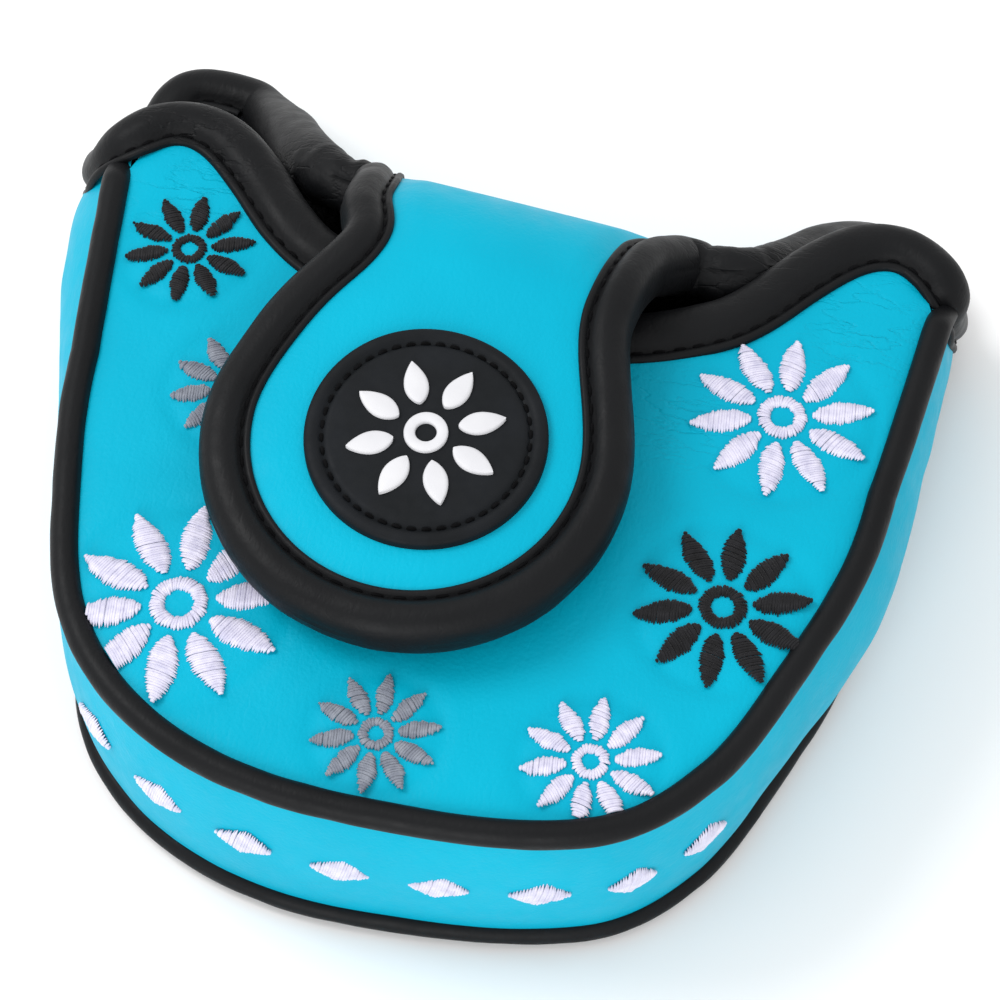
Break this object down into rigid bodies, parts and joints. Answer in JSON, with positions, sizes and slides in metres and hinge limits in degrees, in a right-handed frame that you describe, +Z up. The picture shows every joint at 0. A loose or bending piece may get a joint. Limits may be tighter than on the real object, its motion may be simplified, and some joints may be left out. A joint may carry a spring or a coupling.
{
  "type": "putter head cover",
  "caption": "Padded leather cover for a mallet putter head, with a two-eared mouth and a magnet-held flap that folds over the front panel.",
  "frame": {"origin": "middle of the overall box in X and Y, on the flat underside of the back panel", "axes": "+Z up through the front panel, +Y towards the mouth and the ears, +X across the cover"},
  "size_m": [0.137, 0.135, 0.053],
  "materials": {
    "panel_leather": "turquoise synthetic leather, fine pebble grain, satin",
    "binding_leather": "black synthetic leather, rolled and topstitched, soft satin",
    "foam": "open-cell polyurethane foam padding",
    "lining": "short-pile knit lining",
    "patch_rubber": "moulded soft rubber, matt",
    "emblem_rubber": "moulded white rubber, matt",
    "white_thread": "satin-stitch embroidery in white thread",
    "grey_thread": "satin-stitch embroidery in grey thread",
    "black_thread": "satin-stitch embroidery in black thread",
    "magnet": "nickel-plated disc magnet"
  },
  "bodies": {
    "root": {"front_panel_skin": "panel_leather", "front_panel_foam": "foam", "front_panel_lining": "lining", "back_panel_skin": "panel_leather", "back_panel_foam": "foam", "back_panel_lining": "lining", "gusset_skin": "panel_leather", "gusset_foam": "foam", "gusset_lining": "lining", "front_mouth_binding": "binding_leather", "back_ear_binding_right": "binding_leather", "back_ear_binding_left": "binding_leather", "gusset_end_binding_left": "binding_leather", "gusset_end_binding_right": "binding_leather", "front_piping": "binding_leather", "base_piping": "binding_leather", "motif_black_left": "black_thread", "motif_grey_left": "grey_thread", "motif_white_left": "white_thread", "motif_grey_nose": "grey_thread", "motif_white_nose": "white_thread", "motif_black_right": "black_thread", "motif_white_right": "white_thread", "gusset_mark_1": "white_thread", "gusset_mark_2": "white_thread", "gusset_mark_3": "white_thread", "gusset_mark_4": "white_thread", "gusset_mark_5": "white_thread", "gusset_mark_6": "white_thread", "gusset_mark_7": "white_thread", "gusset_mark_8": "white_thread", "front_magnet_left": "magnet", "front_magnet_right": "magnet"},
    "flap_neck": {"flap_neck_skin": "panel_leather", "flap_neck_foam": "foam", "flap_neck_lining": "lining", "neck_binding_left": "binding_leather", "neck_binding_right": "binding_leather"},
    "flap_lobe": {"flap_lobe_skin": "panel_leather", "flap_lobe_foam": "foam", "flap_lobe_lining": "lining", "lobe_binding": "binding_leather", "patch_base": "patch_rubber", "patch_emblem": "emblem_rubber", "flap_magnet_left": "magnet", "flap_magnet_right": "magnet"}
  },
  "joints": [
    {"name": "flap_lift", "type": "hinge", "parent": "root", "child": "flap_neck", "pos_m": [0, 0.03911, 0.02993], "axis": [-1, 0, 0], "range_deg": [0, 80]},
    {"name": "flap_unroll", "type": "hinge", "parent": "flap_neck", "child": "flap_lobe", "pos_m": [0, 0.02675, 0.04758], "axis": [-1, 0, 0], "range_deg": [0, 70]}
  ],
  "couplings": [
    {"joint": "flap_unroll", "follows": "flap_lift", "ratio": 0.875}
  ]
}
